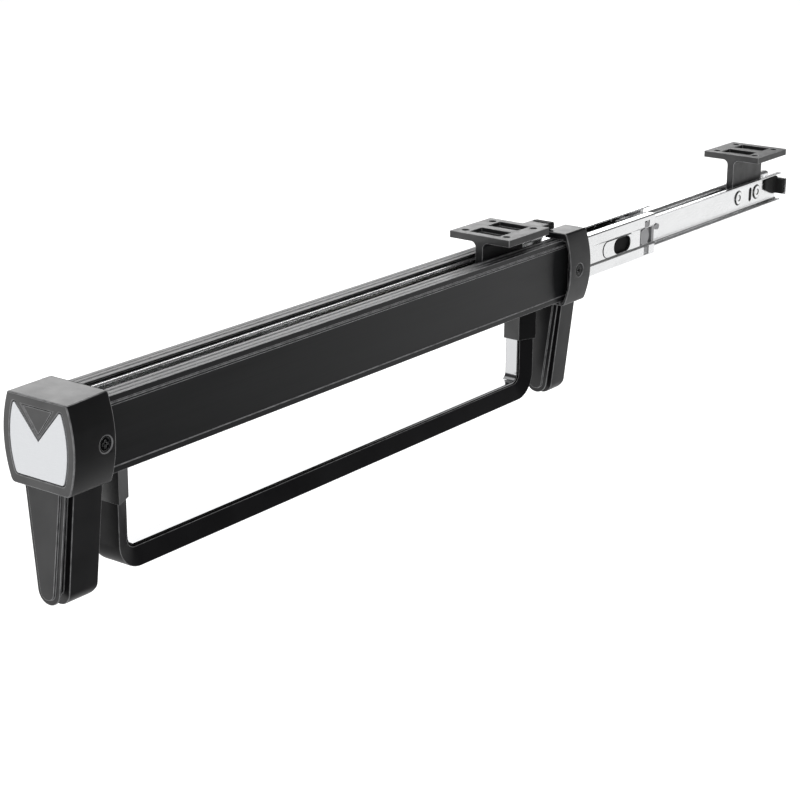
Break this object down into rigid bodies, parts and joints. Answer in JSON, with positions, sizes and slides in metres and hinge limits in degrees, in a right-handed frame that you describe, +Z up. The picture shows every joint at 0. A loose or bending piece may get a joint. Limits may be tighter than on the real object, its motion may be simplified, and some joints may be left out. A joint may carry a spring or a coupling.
{
  "type": "ceiling mounted pull-out clothes rail",
  "caption": "Ceiling mounted clothes rail that pulls out on twin ball bearing slides, with a hanging loop and grip handles under a channel housing.",
  "frame": {"origin": "centre of the front bracket's screw pattern, on the bracket's top face, which lies on the ceiling", "axes": "+Z up into the ceiling, +Y along the rail to the rear bracket, away from the user, +X across the rail; the user pulls the carriage out along -Y"},
  "size_m": [0.0604, 0.9433, 0.1481],
  "materials": {
    "bracket_black": "fine matt black coating on an aluminium extrusion",
    "rubber_black": "matt",
    "slide_steel": "bright zinc plate, rolled",
    "rivet_steel": "bright zinc plate",
    "stop_plastic": "moulded, matt",
    "cage_steel": "plain pressed strip",
    "cage_plastic": "moulded, matt",
    "ball_steel": "polished",
    "housing_black": "black anodised, satin",
    "cap_plastic": "satin moulded",
    "insert_silver": "satin silver",
    "screw_black": "black oxide",
    "handle_plastic": "satin moulded",
    "screw_steel": "zinc plate",
    "loop_plastic": "satin moulded",
    "strip_chrome": "mirror bright"
  },
  "bodies": {
    "ceiling_mount": {"front_bracket": "bracket_black", "rear_bracket": "bracket_black", "bracket_buffer": "rubber_black", "inner_rail_left": "slide_steel", "inner_rail_right": "slide_steel", "front_bracket_rivets": "rivet_steel", "rear_bracket_rivets": "rivet_steel", "end_stop_left": "rubber_black", "end_stop_right": "rubber_black", "release_lever_left": "stop_plastic", "release_lever_right": "stop_plastic"},
    "middle_rail_l": {"middle_rail_left": "slide_steel", "middle_stop_left": "stop_plastic"},
    "middle_rail_r": {"middle_rail_right": "slide_steel", "middle_stop_right": "stop_plastic"},
    "inner_balls_l": {"inner_cage_left": "cage_plastic", "inner_balls_left": "ball_steel"},
    "inner_balls_r": {"inner_cage_right": "cage_plastic", "inner_balls_right": "ball_steel"},
    "outer_balls_l": {"outer_cage_left": "cage_steel", "outer_balls_left": "ball_steel"},
    "outer_balls_r": {"outer_cage_right": "cage_steel", "outer_balls_right": "ball_steel"},
    "carriage": {"outer_rail_left": "slide_steel", "outer_rail_right": "slide_steel", "outer_rail_rivets": "rivet_steel", "housing": "housing_black", "front_cap": "cap_plastic", "front_insert": "insert_silver", "front_cap_screws": "screw_black", "front_handle": "handle_plastic", "front_handle_plate": "handle_plastic", "front_handle_screws": "screw_steel", "rear_cap": "cap_plastic", "rear_cap_screws": "screw_black", "rear_handle": "handle_plastic", "rear_handle_plate": "handle_plastic", "rear_handle_screws": "screw_steel", "front_loop_socket": "cap_plastic", "rear_loop_socket": "cap_plastic", "loop_screws": "screw_steel", "hanging_loop": "loop_plastic", "loop_strip": "strip_chrome"}
  },
  "joints": [
    {"name": "carriage_slide", "type": "slide", "parent": "ceiling_mount", "child": "carriage", "axis": [0, 1, 0], "range_m": [0, 0.38]},
    {"name": "middle_slide_left", "type": "slide", "parent": "ceiling_mount", "child": "middle_rail_l", "axis": [0, 1, 0], "range_m": [0, 0.166]},
    {"name": "middle_slide_right", "type": "slide", "parent": "ceiling_mount", "child": "middle_rail_r", "axis": [0, 1, 0], "range_m": [0, 0.19]},
    {"name": "inner_cage_roll_left", "type": "slide", "parent": "ceiling_mount", "child": "inner_balls_l", "axis": [0, 1, 0], "range_m": [0, 0.083]},
    {"name": "inner_cage_roll_right", "type": "slide", "parent": "ceiling_mount", "child": "inner_balls_r", "axis": [0, 1, 0], "range_m": [0, 0.095]},
    {"name": "outer_cage_roll_left", "type": "slide", "parent": "ceiling_mount", "child": "outer_balls_l", "axis": [0, 1, 0], "range_m": [0, 0.273]},
    {"name": "outer_cage_roll_right", "type": "slide", "parent": "ceiling_mount", "child": "outer_balls_r", "axis": [0, 1, 0], "range_m": [0, 0.285]}
  ],
  "couplings": [
    {"joint": "middle_slide_left", "follows": "carriage_slide", "ratio": 0.43684},
    {"joint": "middle_slide_right", "follows": "carriage_slide", "ratio": 0.5},
    {"joint": "inner_cage_roll_left", "follows": "carriage_slide", "ratio": 0.21842},
    {"joint": "inner_cage_roll_right", "follows": "carriage_slide", "ratio": 0.25},
    {"joint": "outer_cage_roll_left", "follows": "carriage_slide", "ratio": 0.71842},
    {"joint": "outer_cage_roll_right", "follows": "carriage_slide", "ratio": 0.75}
  ]
}
